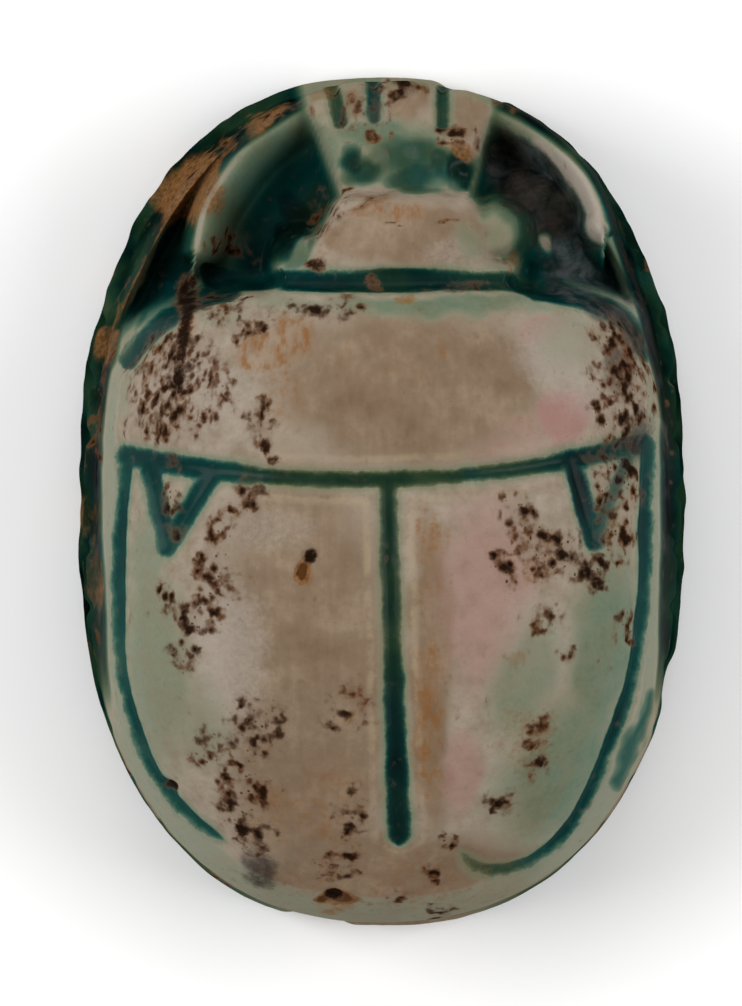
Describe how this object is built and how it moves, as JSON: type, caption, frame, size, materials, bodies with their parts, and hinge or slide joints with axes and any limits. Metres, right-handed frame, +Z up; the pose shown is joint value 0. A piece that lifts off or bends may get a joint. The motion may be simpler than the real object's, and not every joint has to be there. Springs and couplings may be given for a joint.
{
  "type": "scarab amulet",
  "caption": "Small beetle-shaped amulet carved from one piece of glazed stone, domed above, flat below, bored lengthwise for a thread.",
  "frame": {"origin": "centre of the oval underside, on the surface that the amulet lies on", "axes": "+Z up out of the back, +Y towards the head, +X to the right when seen from above with the head away from the viewer"},
  "size_m": [0.0126, 0.0176, 0.0078],
  "materials": {
    "glazed_steatite": "worn blue-green glaze, dark in the carved lines, rubbed through to cream and tan stone on the high parts, with brown burial stains"
  },
  "bodies": {
    "root": {"scarab": "glazed_steatite"}
  },
  "joints": []
}
